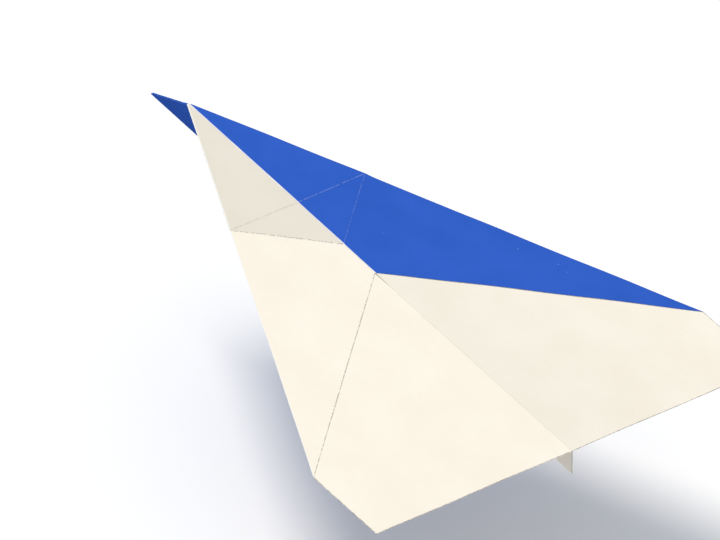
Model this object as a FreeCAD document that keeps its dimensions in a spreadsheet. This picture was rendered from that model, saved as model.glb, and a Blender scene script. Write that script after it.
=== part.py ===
import FreeCAD, Part
import math
import os
import Sketcher

# A dart folded from one sheet of paper. Each panel between creases is one sub-part.
# Frame: X to the right, Y towards the nose, Z up, origin under the middle of the keel.
#
# "across" is the distance over the flat sheet from its centre line, which is the
# bottom of the keel. "aft" is the distance along the sheet from the nose.

sizes = (
    ("sheet_width", 210.0),  # the sheet's short side
    ("sheet_length", 297.0),  # the sheet's long side
    ("paper", 0.1),  # thickness of one layer
    ("layer_gap", 0.04),  # air between folded layers
    ("keel_depth", 11.4),  # bottom of the keel to the wing creases
    ("centre_gap", 0.2),  # between the keel's two halves when they are closed
    ("keel_opening", 10.0),  # degrees that each half of the keel may swing out
    ("keel_clearance", 0.05),  # between the keel's panels and its crease
    ("crease_clearance", 0.05),  # between a wing crease and the panels beside it
)

layersInStack = 4
rootTwo = "sqrt(2)"
halfWidth = "(dims.sheet_width / 2)"
pitch = "(dims.paper + dims.layer_gap)"
stack = f"({layersInStack - 1} * {pitch} + dims.paper)"
keelFace = f"(dims.centre_gap / 2 + {stack})"
noseAt = "(dims.sheet_length / 2)"

# The leading edge is the second fold, at 22.5 degrees to the centre line.
slope = f"(1 + {rootTwo})"
cornerFold = f"({halfWidth} * {rootTwo})"
cornerReach = f"({halfWidth} / {slope})"

# On a short, wide sheet the fold meets the rear edge before it meets the side, and
# the flap's own corner stands clear of the fold.
edgeReach = f"min({halfWidth}; dims.sheet_length / {slope})"
flapReach = f"min({halfWidth}; (dims.sheet_length - {halfWidth}) / {rootTwo})"

# Where the panels stop short of the keel's crease and of the wing's crease.
keelStart = f"({keelFace} * (1 + tan(dims.keel_opening * 1 deg)) + dims.keel_clearance)"
creaseHalf = "(dims.paper + dims.crease_clearance)"
keelEnd = f"(dims.keel_depth - {creaseHalf})"
wingStart = f"(dims.keel_depth + {creaseHalf})"

# Each layer's rear edge, as a distance aft for a given distance across, then how far
# across its leading edge reaches, and its rear edge.
layers = (
    ("base", lambda across: "dims.sheet_length", edgeReach, edgeReach),
    ("corner_flap", lambda across: halfWidth, cornerReach, cornerReach),
    ("tucked_flap", lambda across: f"({cornerFold} - {across})", cornerReach, cornerReach),
    ("top_flap", lambda across: f"({cornerFold} + {across})", edgeReach, flapReach),
)

up = FreeCAD.Vector(0, 0, 1)
down = FreeCAD.Vector(0, 0, -1)
left = FreeCAD.Vector(-1, 0, 0)
right = FreeCAD.Vector(1, 0, 0)
tail = FreeCAD.Vector(0, -1, 0)
slopeNumber = 1 + math.sqrt(2)
samePoint = 1e-6


def turned(alongX, alongY):
    """The rotation that lays local x and y along two directions at right angles."""
    return FreeCAD.Rotation(alongX, alongY, alongX.cross(alongY), "XYZ")


def makeSheet(doc):
    """The driving dimensions, one alias to a row."""
    sheet = doc.addObject("Spreadsheet::Sheet", "dims")
    for row, (name, value) in enumerate(sizes, start=1):
        sheet.set(f"A{row}", name)
        sheet.set(f"B{row}", str(value))
        sheet.setAlias(f"B{row}", name)
    doc.recompute()


def place(piece, rotation, position):
    """Turns a piece and binds its place to the sheet."""
    piece.Placement = FreeCAD.Placement(FreeCAD.Vector(0, 0, 0), rotation)
    for axis, expression in zip("xyz", position):
        piece.setExpression(f"Placement.Base.{axis}", expression)


def startBody(doc, name):
    """An empty body with a sketch on its own XY plane."""
    body = doc.addObject("PartDesign::Body", name)
    body.Label = name
    sketch = body.newObject("Sketcher::SketchObject", name + "_outline")
    plane = [f for f in body.Origin.OriginFeatures if f.Role == "XY_Plane"][0]
    sketch.AttachmentSupport = [(plane, "")]
    sketch.MapMode = "FlatFace"
    return body, sketch


def padBody(body, sketch, length):
    """Pads the outline to a bound length."""
    pad = body.newObject("PartDesign::Pad", body.Name + "_pad")
    pad.Profile = sketch
    pad.setExpression("Length", length)
    body.Tip = pad


def drawOutline(sketch, doc, corners):
    """A closed outline of straight edges, each corner bound in x and y.

    Two corners in a row that fall on one point are one corner."""
    values = [[readValue(doc, part) for part in corner] for corner in corners]
    points = [FreeCAD.Vector(x, y, 0) for x, y in values]
    kept = [i for i, p in enumerate(points) if not p.isEqual(points[i - 1], samePoint)]
    count = len(kept)
    for edge in range(count):
        start, end = points[kept[edge]], points[kept[(edge + 1) % count]]
        sketch.addGeometry(Part.LineSegment(start, end), False)
    for edge in range(count):
        following = (edge + 1) % count
        sketch.addConstraint(Sketcher.Constraint("Coincident", edge, 2, following, 1))
    for edge, i in enumerate(kept):
        for kind, expression, number in zip(("DistanceX", "DistanceY"), corners[i], values[i]):
            constraint = Sketcher.Constraint(kind, -1, 1, edge, 1, number)
            index = sketch.addConstraint(constraint)
            sketch.setExpression(f"Constraints[{index}]", expression)


def readValue(doc, expression):
    """An expression's number for the sizes as they stand."""
    return float(doc.dims.evalExpression(expression))


def makePanel(doc, name, corners, rotation, position):
    """A flat panel of one layer of paper."""
    body, sketch = startBody(doc, name)
    drawOutline(sketch, doc, corners)
    padBody(body, sketch, "dims.paper")
    place(body, rotation, position)


def drawHalfRing(sketch, doc, radius):
    """Half a ring on the +x side, one layer of paper thick."""
    outer = readValue(doc, radius)
    inner = outer - readValue(doc, "dims.paper")
    quarter = math.pi / 2
    centre = FreeCAD.Vector(0, 0, 0)
    for size in (outer, inner):
        circle = Part.Circle(centre, up, size)
        sketch.addGeometry(Part.ArcOfCircle(circle, -quarter, quarter), False)
    for end in (-1, 1):
        start = FreeCAD.Vector(0, end * inner, 0)
        finish = FreeCAD.Vector(0, end * outer, 0)
        sketch.addGeometry(Part.LineSegment(start, finish), False)
    for arc in (0, 1):
        sketch.addConstraint(Sketcher.Constraint("Coincident", arc, 3, -1, 1))
        for line, end in ((2, 1), (3, 2)):
            sketch.addConstraint(Sketcher.Constraint("Coincident", line, 2 - arc, arc, end))
    for line in (2, 3):
        sketch.addConstraint(Sketcher.Constraint("PointOnObject", line, 1, -2))
        sketch.addConstraint(Sketcher.Constraint("PointOnObject", line, 2, -2))
    for arc, size, expression in (
        (0, outer, radius),
        (1, inner, f"{radius} - dims.paper"),
    ):
        index = sketch.addConstraint(Sketcher.Constraint("Radius", arc, size))
        sketch.setExpression(f"Constraints[{index}]", expression)


def makeFold(doc, name, radius, length, rotation, position):
    """A folded edge: half a ring of paper, padded along the fold."""
    body, sketch = startBody(doc, name)
    drawHalfRing(sketch, doc, radius)
    padBody(body, sketch, length)
    place(body, rotation, position)


def makeKeelPanels(doc, side, face):
    """The upright panels of one side of the keel, from the outside in."""
    inward = -1 if side == "right" else 1
    for i, (layer, rear, _, _) in enumerate(layers):
        corners = (
            (keelStart, f"{slope} * {keelStart}"),
            (keelEnd, f"{slope} * {keelEnd}"),
            (keelEnd, rear(keelEnd)),
            (keelStart, rear(keelStart)),
        )
        at = f"{face} + {inward} * {i} * {pitch}"
        if side == "right":
            at = f"{at} - dims.paper"
        name = f"{side}_keel_{layer}"
        makePanel(doc, name, corners, turned(up, tail), (at, noseAt, "0"))


def makeWingPanels(doc, side, face):
    """The level panels of one wing, from the underside up."""
    for i, (layer, rear, edge, tip) in enumerate(layers):
        corners = (
            (creaseHalf, f"{slope} * {wingStart}"),
            (f"{edge} - dims.keel_depth", f"{slope} * {edge}"),
            (f"{tip} - dims.keel_depth", rear(tip)),
            (creaseHalf, rear(wingStart)),
        )
        height = f"dims.keel_depth + {i} * {pitch}"
        if side == "right":
            height = f"{height} + dims.paper"
        outward = right if side == "right" else left
        name = f"{side}_wing_{layer}"
        makePanel(doc, name, corners, turned(outward, tail), (face, noseAt, height))


def foldLength(start, end, radius):
    """The length along the leading edge between two distances across.

    It stops short of the far end by what the fold's own roundness needs."""
    return f"({end} - {start}) * sqrt(1 + {slope} ^ 2) - {radius} * {slope}"


def makeEdgeFolds(doc, side, face):
    """The leading edge: an outer fold wrapped round an inner one, keel and wing."""
    outer = f"({stack} / 2)"
    inner = f"(({pitch} + dims.paper) / 2)"
    sign = 1 if side == "right" else -1
    outward = FreeCAD.Vector(sign * slopeNumber, 1, 0).normalize()
    wingTurn = turned(outward, up * sign)
    keelOut = FreeCAD.Vector(0, 1, slopeNumber).normalize()
    keelTurn = turned(keelOut, left)
    wingAt = (
        f"{face} + {sign} * {creaseHalf}",
        f"{noseAt} - {slope} * {wingStart}",
        f"dims.keel_depth + {stack} / 2",
    )
    keelAt = (
        f"{face} - {sign} * {stack} / 2",
        f"{noseAt} - {slope} * {keelStart}",
        keelStart,
    )
    for word, radius, reach in (
        ("leading_edge", outer, edgeReach),
        ("inner_fold", inner, cornerReach),
    ):
        wingLength = foldLength(wingStart, reach, radius)
        makeFold(doc, f"{side}_wing_{word}", radius, wingLength, wingTurn, wingAt)
        keelLength = foldLength(keelStart, keelEnd, radius)
        makeFold(doc, f"{side}_keel_{word}", radius, keelLength, keelTurn, keelAt)


def makeCornerCrease(doc, side, face):
    """The first fold, which joins the tucked flap to the top flap at the keel."""
    inward = -1 if side == "right" else 1
    radius = f"(({pitch} + dims.paper) / 2)"
    middle = f"{stack} - {radius}"
    length = f"{cornerFold} - {keelStart} - {slope} * {keelStart}"
    position = (
        f"{face} + {inward} * ({middle})",
        f"{noseAt} - {slope} * {keelStart}",
        keelStart,
    )
    makeFold(doc, f"{side}_corner_crease", radius, length, turned(down, right), position)


def makeWingCrease(doc, side, face):
    """The crease between the keel and a wing, a round bead on the hinge line."""
    name = f"{side}_wing_crease"
    bead = doc.addObject("Part::Cylinder", name)
    bead.Label = name
    bead.setExpression("Radius", "dims.paper")
    bead.setExpression("Height", f"dims.sheet_length - {slope} * dims.keel_depth")
    front = f"{noseAt} - {slope} * dims.keel_depth"
    place(bead, turned(right, up), (face, front, "dims.keel_depth"))


def makeKeelCrease(doc):
    """The crease along the bottom, which joins the two halves of the base."""
    makeFold(
        doc,
        "keel_crease",
        keelFace,
        "dims.sheet_length",
        turned(down, right),
        ("0", noseAt, keelFace),
    )


def subparts(doc):
    """Every body and bead, in the order in which it was made."""
    kinds = ("PartDesign::Body", "Part::Cylinder")
    return [piece for piece in doc.Objects if piece.TypeId in kinds]


def checkModel(doc):
    """Stops if an object failed or a sub-part is not one sound solid."""
    for piece in doc.Objects:
        if "Invalid" in piece.State or "Error" in piece.State:
            raise RuntimeError(f"{piece.Label} failed: {piece.State}")
    for piece in subparts(doc):
        shape = piece.Shape
        if shape.isNull() or not shape.isValid() or len(shape.Solids) != 1:
            raise RuntimeError(f"{piece.Label} is not one sound solid")


def writeParts(doc):
    """One STEP file to a sub-part."""
    os.makedirs("parts", exist_ok=True)
    for piece in subparts(doc):
        piece.Shape.exportStep(f"parts/{piece.Label}.step")


def main():
    doc = FreeCAD.newDocument("paper_airplane")
    makeSheet(doc)
    makeKeelCrease(doc)
    for side, face in (("left", f"(-1 * {keelFace})"), ("right", keelFace)):
        makeKeelPanels(doc, side, face)
        makeWingPanels(doc, side, face)
        makeEdgeFolds(doc, side, face)
        makeCornerCrease(doc, side, face)
        makeWingCrease(doc, side, face)
    doc.recompute()
    checkModel(doc)
    writeParts(doc)
    print(f"{len(subparts(doc))} sub-parts written")


main()
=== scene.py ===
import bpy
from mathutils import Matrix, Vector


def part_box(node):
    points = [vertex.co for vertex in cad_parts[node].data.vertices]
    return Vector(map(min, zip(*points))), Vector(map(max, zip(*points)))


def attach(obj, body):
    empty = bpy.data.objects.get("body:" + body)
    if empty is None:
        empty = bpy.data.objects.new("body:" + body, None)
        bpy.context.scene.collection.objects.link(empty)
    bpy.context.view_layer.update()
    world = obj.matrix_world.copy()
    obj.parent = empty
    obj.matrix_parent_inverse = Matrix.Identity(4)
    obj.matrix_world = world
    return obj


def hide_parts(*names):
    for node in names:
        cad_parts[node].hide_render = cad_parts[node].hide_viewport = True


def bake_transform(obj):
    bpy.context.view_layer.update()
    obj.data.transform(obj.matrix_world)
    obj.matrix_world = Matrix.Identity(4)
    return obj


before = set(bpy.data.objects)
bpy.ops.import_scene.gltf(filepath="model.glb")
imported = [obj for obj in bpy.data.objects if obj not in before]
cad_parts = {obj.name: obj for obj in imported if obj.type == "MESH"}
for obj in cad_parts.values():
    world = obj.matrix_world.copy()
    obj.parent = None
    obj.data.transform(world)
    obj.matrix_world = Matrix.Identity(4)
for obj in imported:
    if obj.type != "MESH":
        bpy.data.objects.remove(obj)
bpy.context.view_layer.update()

import math

import bpy
import numpy as np
from mathutils import Matrix, Vector

mm = 0.001
rootTwo = math.sqrt(2)
tiny = 1e-15


def boxOf(node):
    low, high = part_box(node)
    return np.array(low), np.array(high)


# The folded sheet's sizes, all read from the frame. "across" runs over the flat sheet
# from its centre line and "aft" runs along it from the nose.
wingLow, wingHigh = boxOf("right_wing_base")
creaseLow, creaseHigh = boxOf("keel_crease")
flapLow, _ = boxOf("right_keel_top_flap")
secondLow, _ = boxOf("right_wing_corner_flap")
sheet = {
    "paper": wingHigh[2] - wingLow[2],
    "pitch": secondLow[2] - wingLow[2],  # from one layer to the next
    "face": creaseHigh[0],  # from the middle to the outside of the keel
    "depth": wingLow[2],  # from the keel's bottom up to the wing's underside
    "halfWidth": wingHigh[0] - creaseHigh[0] + wingLow[2],
    "length": creaseHigh[1] - creaseLow[1],
    "noseY": creaseHigh[1],
    "creaseTop": creaseHigh[2],  # the outer layer's keel panel starts here
    "innerStart": flapLow[2],  # and the inner layers' panels here
}
slope = 1 + rootTwo  # the leading edge: aft for each unit across
edgeLength = math.hypot(1, slope)
cornerFold = sheet["halfWidth"] * rootTwo  # where the flap's rear edge meets the centre
cornerReach = sheet["halfWidth"] / slope  # how far across the hidden corner reaches

# How a folder's hands left the paper.
foldShape = {
    "closedGap": 0.03 * mm,  # between the two halves of the keel
    "creaseReach": 0.25 * mm,  # half the width of the paper that bends at a wing crease
    "creaseRadius": 0.08 * mm,
    "climbShare": 0.2,  # the part of the bend before it turns over
    "turnShare": 0.5,
    "bendStart": 0.08 * mm,  # where paper starts to follow the wing, out from the hinge line
    "bendEnd": 0.38 * mm,
    "drapeRun": 0.9 * mm,  # a wing layer settles over a hidden edge in this distance
    "keelRun": 9 * mm,  # and the keel's layers draw together in this one
    "edgeLift": 0.12 * mm,  # how far the flap's free edge stands up
    "liftReach": 6 * mm,
    "liftRound": 0.7,  # under 1 keeps the lift nearly even along the edge
    "liftUneven": 0.25,  # the share of the lift that comes and goes
    "liftWaves": 31,  # radians of that from the crease to the tip
    "printSeam": -0.6,  # the angle round a leading edge where the underside's blue ends
}
wingShape = {
    "spring": 0.5 * mm,  # how far the wing springs up from its crease
    "springReach": 20 * mm,
    "droop": 0.55 * mm,  # and how far it comes down again by its tip
    "ripple": 0.10 * mm,  # a shallow wave, one length aft and another across
    "rippleAft": 83 * mm,
    "rippleAcross": 61 * mm,
    "cornerCurl": 0.3 * mm,  # the rear outer corner turns up
    "curlReach": 40 * mm,
    "phase": {"left": 0.6, "right": 2.3},  # where the ripple starts, in radians
}
grid = {
    "keelColumns": 7,
    "foldColumns": 21,  # over the paper that bends at a wing crease
    "wingStep": 1.5 * mm,
    "bandRows": (16, 22, 46, 44),  # between one hidden edge and the next, from the front
    "bandEase": (1.0, 1.7, 1.7, 1.6),  # over 1 crowds the rows towards the front of a band
    "rollSteps": 9,  # round a folded edge
    "creaseStep": 2.5 * mm,
    "weldStep": 0.002 * mm,
    "sharpAngle": math.radians(42),
}
sideSign = {"left": -1, "right": 1}
layerNames = ("base", "corner_flap", "tucked_flap", "top_flap")  # from the bottom up


def smooth(x):
    x = np.clip(x, 0, 1)
    return x * x * (3 - 2 * x)


def covers(across, aft, run):
    # how much of each inner layer still lies here: corner, tucked and top
    beyond = (
        aft - sheet["halfWidth"],
        (across + aft - cornerFold) / rootTwo,
        (aft - across - cornerFold) / rootTwo,
    )
    return [1 - smooth(distance / run) for distance in beyond]


def layerDepth(layer, across, aft):
    # in from the hinge line towards the keel's middle, and up from it on the wing
    half = sheet["paper"] / 2
    corner, tucked, top = covers(across, aft, foldShape["keelRun"])
    inside = {
        "base": corner + tucked + top,
        "corner_flap": tucked + top,
        "tucked_flap": top,
        "top_flap": 0 * top,
    }[layer]
    middle = foldShape["closedGap"] / 2 + half + sheet["pitch"] * inside
    corner, tucked, top = covers(across, aft, foldShape["drapeRun"])
    below = {
        "base": 0 * corner,
        "corner_flap": 1 + 0 * corner,
        "tucked_flap": 1 + corner,
        "top_flap": 1 + corner + tucked,
    }[layer]
    rise = half + sheet["pitch"] * below
    if layer == "top_flap":
        toEdge = (cornerFold + across - aft) / rootTwo
        along = np.clip((across - sheet["depth"]) / (sheet["halfWidth"] - sheet["depth"]), 0, 1)
        uneven = foldShape["liftUneven"]
        rise = rise + (
            foldShape["edgeLift"]
            * smooth(1 - toEdge / foldShape["liftReach"])
            * np.sin(math.pi * along) ** foldShape["liftRound"]
            * (1 - uneven + uneven * np.sin(foldShape["liftWaves"] * along))
        )
    return sheet["face"] - middle, rise


def wingSway(side, across, aft):
    # one smooth field for all four layers, so they bow together; nothing at the crease
    out = np.maximum(across - sheet["depth"] - foldShape["creaseReach"], 0)
    tail = sheet["length"] - aft
    tip = sheet["halfWidth"] - across
    shape = wingShape
    rise = shape["spring"] * (1 - np.exp(-out / shape["springReach"]))
    rise = rise - shape["droop"] * (out / (sheet["halfWidth"] - sheet["depth"])) ** 2
    turns = aft / shape["rippleAft"] + out / shape["rippleAcross"]
    wave = np.sin(2 * math.pi * turns + shape["phase"][side])
    rise = rise + shape["ripple"] * wave * smooth(out / shape["springReach"])
    curl = smooth(1 - tail / shape["curlReach"]) * smooth(1 - tip / shape["curlReach"])
    return rise + shape["cornerCurl"] * curl


def toSpace(side, across, aft, inset, rise):
    # up the keel, round the wing crease and out over the wing; the layers nest
    reach = foldShape["creaseReach"]
    radius = foldShape["creaseRadius"]
    climbShare, turnShare = foldShape["climbShare"], foldShape["turnShare"]
    levelStart = climbShare + turnShare
    out = across - sheet["depth"]
    bend = np.clip((out + reach) / (2 * reach), 0, 1)
    climb = np.clip(bend / climbShare, 0, 1)
    angle = np.clip((bend - climbShare) / turnShare, 0, 1) * math.pi / 2
    level = np.clip((bend - levelStart) / (1 - levelStart), 0, 1)
    pull = layerDepth("base", sheet["depth"] + 0 * aft, aft)[0]  # the keel draws the wing in
    x = radius * (1 - np.cos(angle)) - inset
    x = x + level * (reach + inset - radius - pull) + np.maximum(out - reach, 0)
    z = climb * (reach + rise - radius) - reach + radius * np.sin(angle)
    z = z + np.minimum(out + reach, 0) + wingSway(side, across, aft)
    return np.stack(
        [sideSign[side] * (sheet["face"] + x), sheet["noseY"] - aft, sheet["depth"] + z], axis=-1
    )


# The colours of the paper, its lines and the floor.
tones = {
    "cream": (0.890, 0.826, 0.712),
    "creamCloud": (0.862, 0.792, 0.672),
    "blue": (0.025, 0.098, 0.478),
    "blueCloud": (0.030, 0.108, 0.515),
    # the blue darkened as painted shade, for the keel's outside and the underside
    "blueKeel": (0.018, 0.076, 0.390),
    "blueKeelCloud": (0.021, 0.086, 0.420),
    # rollBlue and darkBlue are for painted shade along the leading edge's fold and the flap's free edge
    "rollBlue": (0.02, 0.06, 0.35),
    "darkBlue": (0.01, 0.035, 0.2),
    # for painted highlights along the pressed lines on the blue
    "paleBlue": (0.35, 0.42, 0.75),
    "speckBlue": (0.25, 0.36, 0.75),
    "core": (0.90, 0.88, 0.84),
    # grey for painted shade along cut edges and pressed lines, and for specks
    "shadeAndFleckGrey": (0.30, 0.27, 0.24),
    "floor": (0.93, 0.93, 0.93),
}


def nodeMaker(tree):
    def add(kind, **values):
        node = tree.nodes.new(kind)
        for key, value in values.items():
            setattr(node, key, value)
        return node

    def link(source, target):
        tree.links.new(source, target)

    def feed(value, socket):
        # a value is another node's output or a constant
        if hasattr(value, "is_output"):
            link(value, socket)
        else:
            socket.default_value = value

    def math2(operation, first, second=0.0):
        node = add("ShaderNodeMath", operation=operation)
        feed(first, node.inputs[0])
        feed(second, node.inputs[1])
        return node.outputs[0]

    return add, link, feed, math2


def newGroup(name, inputs, outputs):
    group = bpy.data.node_groups.new(name, "ShaderNodeTree")
    for label, kind, default in inputs:
        socket = group.interface.new_socket(label, in_out="INPUT", socket_type=kind)
        if default is not None:
            socket.default_value = default
    for label, kind in outputs:
        group.interface.new_socket(label, in_out="OUTPUT", socket_type=kind)
    add, link, _, math2 = nodeMaker(group)
    given = add("NodeGroupInput").outputs
    out = add("NodeGroupOutput").inputs
    return group, add, link, math2, given, out


floatSocket, vectorSocket, colourSocket = "NodeSocketFloat", "NodeSocketVector", "NodeSocketColor"
mixFirst, mixSecond, mixResult = 6, 7, 2  # the colour sockets of a Mix node


def fibreGroup():
    # short pulp fibres lying in two directions, with a fine tooth between them
    group, add, link, math2, given, out = newGroup(
        "paperFibre",
        [
            ("Place", vectorSocket, None),
            ("Fibre Size", floatSocket, 1.0),
            ("Tooth Size", floatSocket, 0.25),
        ],
        [("Tone", floatSocket), ("Height", floatSocket)],
    )
    fibreHeight, toothHeight = 0.35, 0.3
    streaks = []
    for turn, stretch in ((0.35, 0.22), (-0.9, 0.3)):
        mapping = add("ShaderNodeMapping")
        mapping.inputs["Rotation"].default_value = (0, 0, turn)
        mapping.inputs["Scale"].default_value = (1, stretch, 1)
        link(given["Place"], mapping.inputs["Vector"])
        noise = add("ShaderNodeTexNoise")
        noise.inputs["Detail"].default_value = 3
        noise.inputs["Roughness"].default_value = 0.62
        noise.inputs["Distortion"].default_value = 0.5
        link(mapping.outputs[0], noise.inputs["Vector"])
        link(math2("DIVIDE", 1.0, given["Fibre Size"]), noise.inputs["Scale"])
        streaks.append(noise.outputs["Fac"])
    tooth = add("ShaderNodeTexNoise")
    tooth.inputs["Detail"].default_value = 2
    link(given["Place"], tooth.inputs["Vector"])
    link(math2("DIVIDE", 1.0, given["Tooth Size"]), tooth.inputs["Scale"])
    both = math2("ADD", streaks[0], streaks[1])
    link(math2("MULTIPLY", both, 0.5), out["Tone"])
    high = math2("MULTIPLY", both, fibreHeight)
    fine = math2("MULTIPLY", tooth.outputs["Fac"], toothHeight)
    link(math2("ADD", high, fine), out["Height"])
    return group


def cloudGroup():
    # wide soft patches, as where the pulp settled thicker or the ink took less well
    group, add, link, math2, given, out = newGroup(
        "paperClouds",
        [
            ("Place", vectorSocket, None),
            ("Patch Size", floatSocket, 30.0),
            ("Main", colourSocket, (1, 1, 1, 1)),
            ("Cloud", colourSocket, (0.9, 0.9, 0.9, 1)),
        ],
        [("Color", colourSocket)],
    )
    noise = add("ShaderNodeTexNoise")
    noise.inputs["Detail"].default_value = 4
    noise.inputs["Roughness"].default_value = 0.55
    link(given["Place"], noise.inputs["Vector"])
    link(math2("DIVIDE", 1.0, given["Patch Size"]), noise.inputs["Scale"])
    spread = add("ShaderNodeMapRange", clamp=True)
    spread.inputs["From Min"].default_value = 0.35
    spread.inputs["From Max"].default_value = 0.68
    link(noise.outputs["Fac"], spread.inputs["Value"])
    blend = add("ShaderNodeMix", data_type="RGBA")
    link(spread.outputs[0], blend.inputs["Factor"])
    link(given["Main"], blend.inputs[mixFirst])
    link(given["Cloud"], blend.inputs[mixSecond])
    link(blend.outputs[mixResult], out["Color"])
    return group


def speckGroup():
    # stray specks, each its own size, left out of most cells
    group, add, link, math2, given, out = newGroup(
        "paperSpecks",
        [
            ("Place", vectorSocket, None),
            ("Spacing", floatSocket, 9.0),
            ("Size", floatSocket, 0.03),
            ("Share", floatSocket, 0.3),
        ],
        [("Mask", floatSocket)],
    )
    smallest = 0.35
    cells = add("ShaderNodeTexVoronoi", feature="F1")
    link(given["Place"], cells.inputs["Vector"])
    link(math2("DIVIDE", 1.0, given["Spacing"]), cells.inputs["Scale"])
    parts = add("ShaderNodeSeparateColor")
    link(cells.outputs["Color"], parts.inputs[0])
    size = math2("MULTIPLY", given["Size"], math2("ADD", parts.outputs[1], smallest))
    near = math2("LESS_THAN", cells.outputs["Distance"], size)
    kept = math2("LESS_THAN", parts.outputs[0], given["Share"])
    link(math2("MULTIPLY", near, kept), out["Mask"])
    return group


def lineGroup():
    # a thin line where a distance is zero, broken up along its length; it draws worn lines, painted
    # shade lines and painted highlight lines
    group, add, link, math2, given, out = newGroup(
        "wearAndShadeLine",
        [
            ("Place", vectorSocket, None),
            ("Distance", floatSocket, 0.0),
            ("Width", floatSocket, 0.3),
            ("Break Size", floatSocket, 3.0),
            ("Broken", floatSocket, 0.5),
        ],
        [("Mask", floatSocket)],
    )
    solidShare, fadeShare = 0.45, 0.75  # of the width, to each side of the line
    away = math2("ABSOLUTE", given["Distance"])
    near = add("ShaderNodeMapRange", clamp=True, interpolation_type="SMOOTHSTEP")
    link(away, near.inputs["Value"])
    link(math2("MULTIPLY", given["Width"], solidShare), near.inputs["From Min"])
    link(math2("MULTIPLY", given["Width"], fadeShare), near.inputs["From Max"])
    near.inputs["To Min"].default_value = 1
    near.inputs["To Max"].default_value = 0
    noise = add("ShaderNodeTexNoise")
    noise.inputs["Detail"].default_value = 1
    link(given["Place"], noise.inputs["Vector"])
    link(math2("DIVIDE", 1.0, given["Break Size"]), noise.inputs["Scale"])
    gate = add("ShaderNodeMapRange", clamp=True)
    link(noise.outputs["Fac"], gate.inputs["Value"])
    gate.inputs["From Min"].default_value = 0.42
    gate.inputs["From Max"].default_value = 0.56
    link(math2("SUBTRACT", 1.0, given["Broken"]), gate.inputs["To Min"])
    gate.inputs["To Max"].default_value = 1
    link(math2("MULTIPLY", near.outputs[0], gate.outputs[0]), out["Mask"])
    return group


fibre, clouds, specks, wearAndShadeLine = fibreGroup(), cloudGroup(), speckGroup(), lineGroup()
print("node groups ready")


def opaque(colour):
    return (*colour, 1)


def paperMaterial(name, look):
    material = bpy.data.materials.new(name)
    material.use_nodes = True
    tree = material.node_tree
    add, link, feed, math2 = nodeMaker(tree)
    shader = tree.nodes["Principled BSDF"]
    shader.inputs["Specular IOR Level"].default_value = look["specular"]

    def attribute(label):
        return add("ShaderNodeAttribute", attribute_name=label).outputs["Vector"]

    def split(vector):
        node = add("ShaderNodeSeparateXYZ")
        link(vector, node.inputs[0])
        return node.outputs

    def place(group, **values):
        node = add("ShaderNodeGroup", node_tree=group)
        for label, value in values.items():
            feed(value, node.inputs[label.replace("_", " ")])
        return node.outputs

    def line(distance, width, breakSize, broken):
        return place(
            wearAndShadeLine,
            Place=flat,
            Distance=distance,
            Width=width,
            Break_Size=breakSize,
            Broken=broken,
        )["Mask"]

    def mixColour(factor, first, second, kind="MIX"):
        node = add("ShaderNodeMix", data_type="RGBA", blend_type=kind)
        feed(factor, node.inputs["Factor"])
        feed(first, node.inputs[mixFirst])
        feed(second, node.inputs[mixSecond])
        return node.outputs[mixResult]

    flat = attribute("sheetPlace")
    rear, side, lead = split(attribute("sheetEdges"))
    corner, tucked, backing = split(attribute("sheetPressed"))
    crease = split(flat)[2]
    grain = place(fibre, Place=flat, Fibre_Size=look["fibreSize"])
    tone = place(
        clouds,
        Place=flat,
        Patch_Size=look["patchSize"],
        Main=opaque(look["main"]),
        Cloud=opaque(look["cloud"]),
    )
    uneven = math2("SUBTRACT", grain["Tone"], 0.5)
    streak = math2("MULTIPLY", uneven, look["streaks"])
    lighter = math2("ADD", 1.0, streak)
    colour = add("ShaderNodeVectorMath", operation="SCALE")
    link(tone["Color"], colour.inputs[0])
    link(lighter, colour.inputs["Scale"])
    colour = colour.outputs[0]
    if "paintedShade" in look:
        # painted shade: a little grey, most of it beside the crease
        shadeShare = add("ShaderNodeMapRange", clamp=True)
        link(crease, shadeShare.inputs["Value"])
        shadeShare.inputs["From Max"].default_value = look["paintedShadeReach"]
        shadeShare.inputs["To Min"].default_value = 1
        shadeShare.inputs["To Max"].default_value = look["paintedShadeFar"]
        colour = mixColour(shadeShare.outputs[0], colour, opaque(look["paintedShade"]), "MULTIPLY")
    # painted shade where the tucked layer lies beneath
    if "backedShade" in look:
        colour = mixColour(math2("LESS_THAN", backing, 0.0), colour, opaque(look["backedShade"]), "MULTIPLY")
    for label, distance in (
        ("corner", corner),
        ("tucked", tucked),
        ("rear", rear),
        ("side", side),
        ("lead", lead),
        ("crease", crease),
    ):
        if label in look["lines"]:
            *shape, strength, paint = look["lines"][label]
            mask = line(distance, *shape)
            colour = mixColour(math2("MULTIPLY", mask, strength), colour, opaque(paint))
    flecks = place(
        specks,
        Place=flat,
        Spacing=look["speckSpacing"],
        Size=look["speckSize"],
        Share=look["speckShare"],
    )["Mask"]
    fleck = math2("MULTIPLY", flecks, look["speckStrength"])
    colour = mixColour(fleck, colour, opaque(look["speckPaint"]))
    link(colour, shader.inputs["Base Color"])
    rough = math2("ADD", look["roughness"], math2("MULTIPLY", uneven, look["roughSpread"]))
    link(rough, shader.inputs["Roughness"])
    bump = add("ShaderNodeBump")
    bump.inputs["Strength"].default_value = look["bump"]
    bump.inputs["Distance"].default_value = look["bumpHeight"]
    pressed = math2("MULTIPLY", line(tucked, *look["pressedLine"]), look["pressedDepth"])
    link(math2("SUBTRACT", grain["Height"], pressed), bump.inputs["Height"])
    link(bump.outputs[0], shader.inputs["Normal"])
    return material


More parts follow.
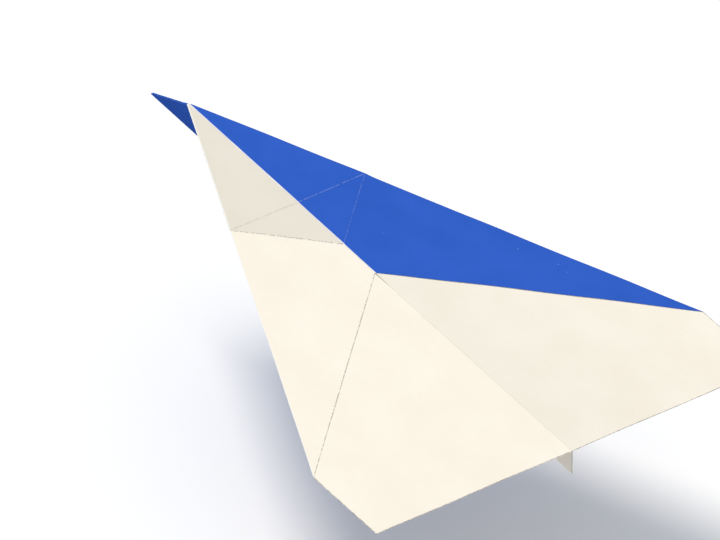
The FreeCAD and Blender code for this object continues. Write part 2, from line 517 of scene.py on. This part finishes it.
# Sizes are in millimetres over the flat sheet. A line is its width, the length of its
# breaks, how broken it is, its strength and its colour.
creamLook = {
    "main": tones["cream"],
    "cloud": tones["creamCloud"],
    "patchSize": 34.0,
    "fibreSize": 1.6,
    "streaks": 0.05,
    "specular": 0.12,
    "roughness": 0.78,
    "roughSpread": 0.3,
    "bump": 0.35,
    "bumpHeight": 0.02 * mm,
    "pressedLine": (0.8, 4.0, 0.3),  # a hidden edge pressed through
    "pressedDepth": 0.2,
    "lines": {
        # painted shade along the trailing edge and the wing tip
        "rear": (0.6, 2.0, 0.5, 1.0, tones["shadeAndFleckGrey"]),
        "side": (0.5, 2.0, 0.6, 0.9, tones["shadeAndFleckGrey"]),
    },
    "speckSpacing": 11.0,
    "speckSize": 0.035,
    "speckShare": 0.25,
    "speckStrength": 0.35,
    "speckPaint": tones["shadeAndFleckGrey"],
}
# the right wing's top, with painted shade that is darkest beside its crease
rightWingLook = {
    **creamLook,
    "paintedShade": (0.93, 0.935, 0.94),
    "paintedShadeReach": 90.0,
    "paintedShadeFar": 0.35,  # how much of it is left beyond that
}
keelShadeLook = {  # the keel's outside and the wing's underside behind the blue, with painted shade that is darkest on the keel
    **creamLook,
    "paintedShade": (0.86, 0.87, 0.905),
    "paintedShadeReach": 25.0,
    "paintedShadeFar": 0.35,
}
leftFlapLook = {
    **creamLook,
    "backedShade": (0.835, 0.845, 0.845),  # painted shade: darker where the tucked layer lies beneath
    "lines": {
        # painted shade along the pressed lines and the cut edges
        "corner": (0.4, 0.9, 1.0, 0.40, tones["shadeAndFleckGrey"]),
        "tucked": (0.5, 1.4, 1.0, 0.65, tones["shadeAndFleckGrey"]),
        "rear": (0.5, 1.2, 1.0, 0.7, tones["shadeAndFleckGrey"]),
        "side": (0.5, 2.0, 0.6, 0.9, tones["shadeAndFleckGrey"]),
        "lead": (0.34, 6.0, 0.2, 0.8, tones["core"]),
    },
}
blueEdges = {
    # painted shade along the flap's free edge and the leading edge's fold; white core lines at the wing
    # tip and the crease
    "rear": (0.45, 3.0, 0.8, 0.7, tones["darkBlue"]),
    "side": (0.5, 3.0, 0.5, 0.5, tones["core"]),
    "lead": (0.5, 5.0, 0.6, 0.25, tones["rollBlue"]),
    "crease": (0.3, 7.0, 0.15, 1.0, tones["core"]),
}
blueLook = {
    **creamLook,
    "main": tones["blue"],
    "cloud": tones["blueCloud"],
    "patchSize": 22.0,
    "streaks": 0.10,
    "specular": 0.05,
    "roughness": 0.8,
    "lines": {
        # painted highlights along the pressed lines
        "corner": (0.4, 1.2, 1.0, 0.3, tones["paleBlue"]),
        "tucked": (0.35, 1.0, 1.0, 0.2, tones["paleBlue"]),
        **blueEdges,
    },
    "speckSpacing": 9.0,
    "speckSize": 0.05,
    "speckShare": 0.5,
    "speckStrength": 0.3,
    "speckPaint": tones["speckBlue"],
}
# the same blue print, darkened as painted shade
blueKeelLook = {
    **blueLook,
    "main": tones["blueKeel"],
    "cloud": tones["blueKeelCloud"],
    "lines": blueEdges,
}
coreLook = {
    **creamLook,
    "main": tones["core"],
    "cloud": tones["creamCloud"],
    "patchSize": 3.0,
    "streaks": 0.2,
    "lines": {},
}
paper = {
    "cream": paperMaterial("creamPaper", creamLook),
    "rightWing": paperMaterial("creamWingPaper", rightWingLook),
    "keelShade": paperMaterial("creamKeelShadePaper", keelShadeLook),
    "leftFlap": paperMaterial("creamFlapPaper", leftFlapLook),
    "blue": paperMaterial("bluePrint", blueLook),
    "blueKeel": paperMaterial("bluePrintShadedBelow", blueKeelLook),
    "core": paperMaterial("paperCore", coreLook),
}
print("paper materials ready")


def wingColumns(start, end):
    reach = foldShape["creaseReach"]
    hinge = sheet["depth"]
    parts = [
        np.linspace(start, hinge - reach, grid["keelColumns"]),
        np.linspace(hinge - reach, hinge + reach, grid["foldColumns"])[1:],
    ]
    stops = [hinge + reach, cornerReach, end] if end > cornerReach + mm else [hinge + reach, end]
    for low, high in zip(stops, stops[1:]):
        steps = max(2, round((high - low) / grid["wingStep"]))
        parts.append(np.linspace(low, high, steps + 1)[1:])
    return np.concatenate(parts)


def bandedGrid(columns, bandCount):
    # rows follow the hidden edges, so every edge has vertices right along it
    lines = [slope * columns]
    ends = (
        sheet["halfWidth"] + 0 * columns,
        cornerFold - columns,
        cornerFold + columns,
        sheet["length"] + 0 * columns,
    )
    for line in ends[:bandCount]:
        lines.append(np.maximum(lines[-1], line))
    rows = [lines[0]]
    for band in range(bandCount):
        count = grid["bandRows"][band]
        share = (np.arange(1, count + 1) / count) ** grid["bandEase"][band]
        rows.extend(lines[band] + part * (lines[band + 1] - lines[band]) for part in share)
    aft = np.array(rows)
    return np.broadcast_to(columns, aft.shape).copy(), aft


def weld(across, aft):
    # rows close up to nothing beyond the hidden corner, so equal places become one
    flat = np.stack([across.ravel(), aft.ravel()], axis=1)
    keys = np.round(flat / grid["weldStep"]).astype(np.int64)
    _, first, index = np.unique(keys, axis=0, return_index=True, return_inverse=True)
    return first, index.reshape(across.shape)


def gridFaces(index, flip):
    faces = []
    for row in range(index.shape[0] - 1):
        for column in range(index.shape[1] - 1):
            corners = [
                index[row, column],
                index[row, column + 1],
                index[row + 1, column + 1],
                index[row + 1, column],
            ]
            ring = list(dict.fromkeys(int(c) for c in corners))
            if len(ring) >= 3:
                faces.append(ring[::-1] if flip else ring)
    return faces


def vertexNormals(points, faces):
    normals = np.zeros_like(points)
    for face in faces:
        corner = points[face]
        normal = np.zeros(3)
        for this, following in zip(corner, np.roll(corner, -1, axis=0)):
            normal += np.cross(this, following)
        normals[face] += normal
    length = np.linalg.norm(normals, axis=1, keepdims=True)
    return normals / np.maximum(length, tiny)


def thicken(points, faces):
    normals = vertexNormals(points, faces)
    half = sheet["paper"] / 2
    count = len(points)
    edges = {edge: True for face in faces for edge in zip(face, face[1:] + face[:1])}
    rims = [[b, a, a + count, b + count] for a, b in edges if (b, a) not in edges]
    under = [[corner + count for corner in reversed(face)] for face in faces]
    both = np.concatenate([points + half * normals, points - half * normals])
    return both, faces + under + rims


def sheetFacts(layer, across, aft, backing):
    # distances over the flat sheet, in millimetres, for the materials
    ownRear = {
        "base": sheet["length"] - aft,
        "corner_flap": sheet["halfWidth"] - aft,
        "tucked_flap": (cornerFold - across - aft) / rootTwo,
        "top_flap": (cornerFold + across - aft) / rootTwo,
    }[layer]
    lead = (aft - slope * across) / edgeLength
    tucked = (across + aft - cornerFold) / rootTwo
    backedShade = tucked if backing else 0 * tucked + sheet["length"]  # past where it would show
    facts = {
        "sheetPlace": (across, aft, across - sheet["depth"]),
        "sheetEdges": (ownRear, sheet["halfWidth"] - across, lead),
        "sheetPressed": (aft - sheet["halfWidth"], tucked, backedShade),
    }
    return {name: np.stack(values, axis=-1) / mm for name, values in facts.items()}


def addPiece(name, points, faces, facts, topSlots, underSlots, slots):
    both, allFaces = thicken(points, faces)
    mesh = bpy.data.meshes.new(name)
    mesh.from_pydata(both.tolist(), [], allFaces)
    for label, values in facts.items():
        layer = mesh.attributes.new(label, "FLOAT_VECTOR", "POINT")
        twice = np.concatenate([values, values]).ravel()
        layer.data.foreach_set("vector", twice.astype(np.float32))
    for key in slots:
        mesh.materials.append(paper[key])
    rimSlot = slots.index("core")
    rims = len(allFaces) - 2 * len(faces)
    slotOfFace = list(topSlots) + list(underSlots) + [rimSlot] * rims
    mesh.polygons.foreach_set("material_index", slotOfFace)
    mesh.polygons.foreach_set("use_smooth", [True] * len(allFaces))
    mesh.set_sharp_from_angle(angle=grid["sharpAngle"])
    mesh.update()
    mesh.validate()
    piece = bpy.data.objects.new(name, mesh)
    bpy.context.scene.collection.objects.link(piece)
    return piece


def rideFold(piece):
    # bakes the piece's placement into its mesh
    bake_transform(piece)


def printed(side, layer):
    # the material of the sheet's reverse, which is printed blue on the right
    if side == "right":
        return "blue"
    return "leftFlap" if layer == "top_flap" else "cream"


def addLayer(side, layer):
    bandCount = {"base": 4, "corner_flap": 1, "tucked_flap": 2, "top_flap": 3}[layer]
    start = sheet["creaseTop"] if layer == "base" else sheet["innerStart"]
    end = cornerReach if bandCount < 3 else sheet["halfWidth"]
    across, aft = bandedGrid(wingColumns(start, end), bandCount)
    first, index = weld(across, aft)
    faces = gridFaces(index, side == "right")
    across, aft = across.ravel()[first], aft.ravel()[first]
    points = toSpace(side, across, aft, *layerDepth(layer, across, aft))
    facts = sheetFacts(layer, across, aft, side == "left" and layer == "top_flap")
    centres = np.array([(across[face].mean(), aft[face].mean()) for face in faces])
    ahead = centres[:, 1] < cornerFold + centres[:, 0]
    reverse = printed(side, layer)
    if layer == "base":
        # its underside is blue ahead and cream behind, both with painted shade
        slots = ["cream" if side == "left" else "rightWing", "blueKeel", "keelShade", "core"]
        top = np.zeros(len(faces), int)
        under = np.where(ahead, 1, 2)
    else:
        slots = list(dict.fromkeys(["cream", reverse, "core"]))
        front, back = 0, slots.index(reverse)
        facesUp = layer in ("top_flap", "corner_flap")  # these show the sheet's reverse
        top = np.full(len(faces), back if facesUp else front)
        under = np.full(len(faces), front if facesUp else back)
    piece = addPiece(f"{side}_{layer}_sheet", points, faces, facts, top, under, slots)
    rideFold(piece)
    nodes = [f"{side}_keel_{layer}", f"{side}_wing_{layer}"]
    if layer == "base":
        nodes.append(f"{side}_wing_crease")
    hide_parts(*nodes)


def addRoll(side, name, lower, upper, end):
    # the half round of a fold, from the lower layer round the leading edge to the upper
    start = sheet["creaseTop"] if lower == "base" else sheet["innerStart"]
    columns = wingColumns(start, end)
    angles = np.linspace(-math.pi / 2, math.pi / 2, grid["rollSteps"] + 1)
    across = np.broadcast_to(columns, (len(angles), len(columns))).copy()
    aft = slope * across
    share = ((1 + np.sin(angles)) / 2)[:, None]
    low = layerDepth(lower, across, aft)
    high = layerDepth(upper, across, aft)
    inset = low[0] + share * (high[0] - low[0])
    rise = low[1] + share * (high[1] - low[1])
    bulge = np.abs(high[1] - low[1]) / 2 * np.cos(angles)[:, None]
    points = toSpace(
        side, across + bulge * slope / edgeLength, aft - bulge / edgeLength, inset, rise
    ).reshape(-1, 3)
    index = np.arange(across.size).reshape(across.shape)
    faces = gridFaces(index, side == "right")
    facts = sheetFacts(upper, across.ravel(), aft.ravel(), side == "left" and upper == "top_flap")
    reverse = printed(side, upper)
    slots = list(dict.fromkeys(["blue", reverse, "cream", "core"]))
    seam = foldShape["printSeam"]
    lowerHalf = np.array([angles[face[0] // len(columns)] < seam for face in faces])
    onKeel = np.array([across.ravel()[face[0]] < sheet["depth"] for face in faces])
    if lower == "base":
        outside = np.where(lowerHalf | onKeel, 0, slots.index(reverse))
    else:
        outside = np.full(len(faces), slots.index("cream"))
    inside = np.full(len(faces), slots.index("cream"))
    piece = addPiece(f"{side}_{name}_roll", points, faces, facts, outside, inside, slots)
    rideFold(piece)
    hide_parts(f"{side}_keel_{name}", f"{side}_wing_{name}")


def addCornerCrease(side):
    # the first fold, which ends up along the inside of the keel's bottom
    start = sheet["innerStart"]
    steps = round((cornerFold - start) / grid["creaseStep"])
    columns = np.linspace(slope * start, cornerFold - start, steps + 1)
    angles = np.linspace(-math.pi / 2, math.pi / 2, grid["rollSteps"] + 1)
    aft = np.broadcast_to(columns, (len(angles), len(columns))).copy()
    across = start + 0 * aft
    share = ((1 + np.sin(angles)) / 2)[:, None]
    low = layerDepth("tucked_flap", across, aft)
    high = layerDepth("top_flap", across, aft)
    inset = low[0] + share * (high[0] - low[0])
    radius = sheet["pitch"] / 2
    points = toSpace(
        side, across - radius * np.cos(angles)[:, None], aft, inset, low[1]
    ).reshape(-1, 3)
    faces = gridFaces(np.arange(aft.size).reshape(aft.shape), side == "left")
    facts = sheetFacts("top_flap", across.ravel(), aft.ravel(), False)
    outside = np.zeros(len(faces), int)
    slots = ["cream" if side == "left" else "blue", "cream", "core"]
    name = f"{side}_corner_crease_roll"
    piece = addPiece(name, points, faces, facts, outside, outside + 1, slots)
    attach(piece, f"{side}_keel")
    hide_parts(f"{side}_corner_crease")


def addKeelFold(side):
    # a quarter of the round along the keel's bottom, tighter behind the flaps
    steps = round(sheet["length"] / grid["creaseStep"])
    angles = np.linspace(0, math.pi / 2, grid["rollSteps"] + 1)
    height = sheet["creaseTop"] - (sheet["creaseTop"] - sheet["paper"] / 2) * np.cos(angles)
    share = np.linspace(0, 1, steps + 1)
    front = (slope * height)[:, None]
    aft = front + share[None, :] * (sheet["length"] - front)
    middle = sheet["face"] - layerDepth("base", sheet["creaseTop"] + 0 * aft, aft)[0]
    x = sideSign[side] * middle * np.sin(angles)[:, None]
    z = height[:, None] + 0 * aft
    points = np.stack([x, sheet["noseY"] - aft, z], axis=-1).reshape(-1, 3)
    faces = gridFaces(np.arange(aft.size).reshape(aft.shape), side == "right")
    across = (height[:, None] + 0 * aft).ravel()
    facts = sheetFacts("base", across, aft.ravel(), False)
    ahead = np.array([aft.ravel()[face].mean() < cornerFold for face in faces])
    outside = np.where(ahead, 1, 0)
    inside = np.zeros(len(faces), int)
    # cream behind and blue ahead, both with painted shade
    slots = ["keelShade", "blueKeel", "core"]
    piece = addPiece(f"{side}_keel_fold", points, faces, facts, outside, inside, slots)
    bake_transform(piece)
    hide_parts("keel_crease")


for side in sideSign:
    for layer in layerNames:
        addLayer(side, layer)
    addRoll(side, "leading_edge", "base", "top_flap", sheet["halfWidth"])
    addRoll(side, "inner_fold", "corner_flap", "tucked_flap", cornerReach)
    addCornerCrease(side)
    addKeelFold(side)
    print(side, "half folded")


studio = {
    "floorDrop": 84 * mm,  # the plane is in the air, this far above the floor
    "floorHalf": 60.0,  # wide enough to fill every view
    "floorPatch": 0.4,
    "floorCloud": 0.995,  # how bright its darker patches are
    "floorRoughness": 0.9,
    "sunTowards": (-0.05, 0.34, 1.0),
    "sunStrength": 1.815,
    "sunColour": (1.0, 0.936, 0.85),
    "sunAngle": math.radians(22),
    "skyColour": (0.92, 1.0, 1.10),  # lights the object only; the camera sees white
    "skyLow": 0.05,  # how bright the sky is at the horizon
    "skyHigh": 0.92,  # and overhead
}
half = studio["floorHalf"]
floorMesh = bpy.data.meshes.new("floor")
floorMesh.from_pydata(
    [(x * half, y * half, -studio["floorDrop"]) for x, y in ((-1, -1), (1, -1), (1, 1), (-1, 1))],
    [],
    [(0, 1, 2, 3)],
)
floorObject = bpy.data.objects.new("floor", floorMesh)
bpy.context.scene.collection.objects.link(floorObject)
floorMaterial = bpy.data.materials.new("paleFloor")
floorMaterial.use_nodes = True
floorAdd, floorLink, *_ = nodeMaker(floorMaterial.node_tree)
floorShader = floorMaterial.node_tree.nodes["Principled BSDF"]
floorShader.inputs["Specular IOR Level"].default_value = 0.0
floorPlace = floorAdd("ShaderNodeTexCoord").outputs["Object"]
floorTone = floorAdd("ShaderNodeGroup", node_tree=clouds)
floorLink(floorPlace, floorTone.inputs["Place"])
floorTone.inputs["Patch Size"].default_value = studio["floorPatch"]
floorTone.inputs["Main"].default_value = opaque(tones["floor"])
floorCloud = [studio["floorCloud"] * part for part in tones["floor"]]
floorTone.inputs["Cloud"].default_value = opaque(floorCloud)
floorLink(floorTone.outputs["Color"], floorShader.inputs["Base Color"])
floorShader.inputs["Roughness"].default_value = studio["floorRoughness"]
floorMesh.materials.append(floorMaterial)

sunData = bpy.data.lights.new("keySun", "SUN")
sunData.energy = studio["sunStrength"]
sunData.color = studio["sunColour"]
sunData.angle = studio["sunAngle"]
sun = bpy.data.objects.new("keySun", sunData)
sun.rotation_euler = Vector(studio["sunTowards"]).to_track_quat("Z", "Y").to_euler()
bpy.context.scene.collection.objects.link(sun)

world = bpy.data.worlds.new("studioSky")
world.use_nodes = True
bpy.context.scene.world = world
worldAdd, worldLink, *_ = nodeMaker(world.node_tree)
skyNode = world.node_tree.nodes["Background"]
skyNode.inputs["Color"].default_value = opaque(studio["skyColour"])
skyHeight = worldAdd("ShaderNodeSeparateXYZ")
worldLink(worldAdd("ShaderNodeTexCoord").outputs["Generated"], skyHeight.inputs[0])
skyRamp = worldAdd("ShaderNodeMapRange", clamp=True)
worldLink(skyHeight.outputs["Z"], skyRamp.inputs["Value"])
skyRamp.inputs["To Min"].default_value = studio["skyLow"]
skyRamp.inputs["To Max"].default_value = studio["skyHigh"]
worldLink(skyRamp.outputs[0], skyNode.inputs["Strength"])
whiteNode = worldAdd("ShaderNodeBackground")  # what the camera sees behind the floor
whiteNode.inputs["Color"].default_value = (1, 1, 1, 1)
pick = worldAdd("ShaderNodeMixShader")
worldLink(worldAdd("ShaderNodeLightPath").outputs["Is Camera Ray"], pick.inputs[0])
worldLink(skyNode.outputs[0], pick.inputs[1])
worldLink(whiteNode.outputs[0], pick.inputs[2])
worldLink(pick.outputs[0], world.node_tree.nodes["World Output"].inputs[0])
bpy.context.scene.view_settings.view_transform = "Standard"

view = {
    "azimuth": math.radians(-34.6),
    "elevation": math.radians(38.09),
    "roll": math.radians(0.27),
    "distance": 9.9,
    "lens": 1244.8,
    "aimAft": 1.5 * mm,  # the point looked at, before the framing shift
    "shiftRight": 1.11 * mm,
    "shiftUp": -5.14 * mm,
    "sensor": 36,
    "clipEnd": 200,
}
azimuth, elevation = view["azimuth"], view["elevation"]
back = Vector((
    math.sin(azimuth) * math.cos(elevation),
    -math.cos(azimuth) * math.cos(elevation),
    math.sin(elevation),
))
levelRight = Vector((math.cos(azimuth), math.sin(azimuth), 0))
levelUp = back.cross(levelRight)
cosRoll, sinRoll = math.cos(view["roll"]), math.sin(view["roll"])
right = cosRoll * levelRight + sinRoll * levelUp
up = cosRoll * levelUp - sinRoll * levelRight
aim = Vector((0, view["aimAft"], sheet["depth"])) + view["shiftRight"] * right + view["shiftUp"] * up
cameraData = bpy.data.cameras.new("camera")
cameraData.lens = view["lens"]
cameraData.sensor_width = view["sensor"]
cameraData.clip_end = view["clipEnd"]
camera = bpy.data.objects.new("camera", cameraData)
turned = Matrix((right, up, back)).transposed().to_4x4()
camera.matrix_world = Matrix.Translation(aim + view["distance"] * back) @ turned
bpy.context.scene.collection.objects.link(camera)
bpy.context.scene.camera = camera
print("studio ready")
